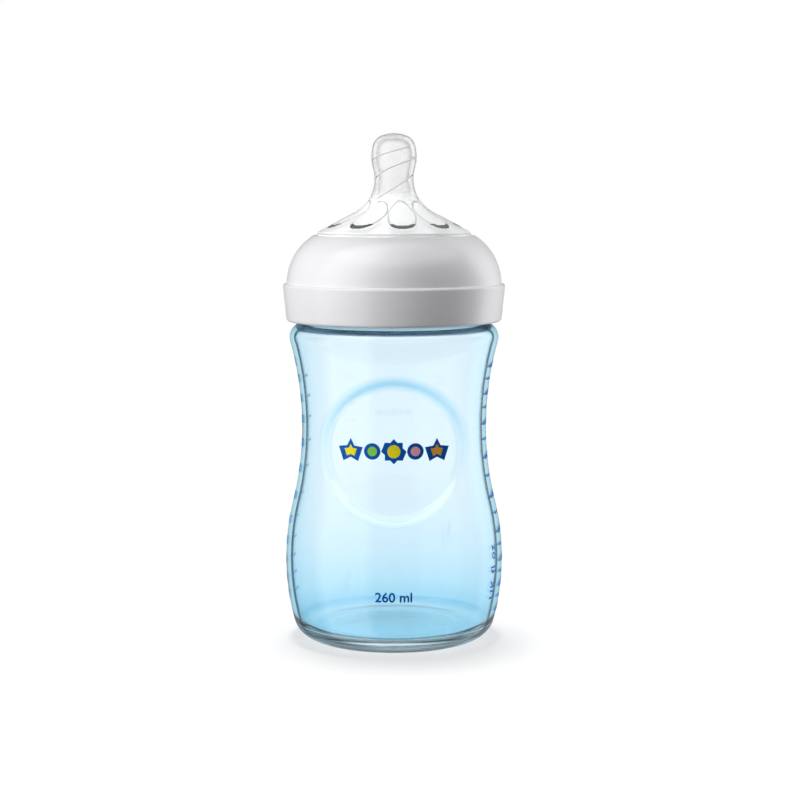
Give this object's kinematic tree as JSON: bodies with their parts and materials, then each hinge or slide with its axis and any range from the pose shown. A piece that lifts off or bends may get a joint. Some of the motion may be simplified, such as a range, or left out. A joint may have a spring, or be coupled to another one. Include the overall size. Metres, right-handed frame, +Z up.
{
  "type": "baby bottle",
  "caption": "Waisted clear blue feeding bottle with a white domed screw ring, a soft clear petal teat and printed volume scales.",
  "frame": {"origin": "centre of the foot, on the surface that the bottle stands on", "axes": "+Z up along the bottle's axis; -Y towards the front medallion; +X to the right seen from the front"},
  "size_m": [0.0724, 0.0724, 0.1649],
  "materials": {
    "clear_blue_plastic": "polished, see-through polypropylene",
    "white_plastic": "smooth gloss polypropylene",
    "clear_silicone": "clear, slightly frosted silicone",
    "blue_ink": "flat printed ink"
  },
  "bodies": {
    "bottle": {"bottle_body": "clear_blue_plastic", "fluid_ounce_scale": "blue_ink", "millilitre_scale": "blue_ink", "medallion_print": "blue_ink"},
    "teat": {"teat": "clear_silicone"},
    "ring": {"screw_ring": "white_plastic"}
  },
  "joints": [
    {"name": "teat_lift", "type": "slide", "parent": "bottle", "child": "teat", "axis": [0, 0, 1], "range_m": [0, 0.021]},
    {"name": "ring_turn", "type": "hinge", "parent": "teat", "child": "ring", "pos_m": [0, 0, 0.11], "axis": [0, 0, 1], "range_deg": [0, 1080]}
  ],
  "couplings": [
    {"joint": "ring_turn", "follows": "teat_lift", "rad_per_m": 897.6}
  ]
}
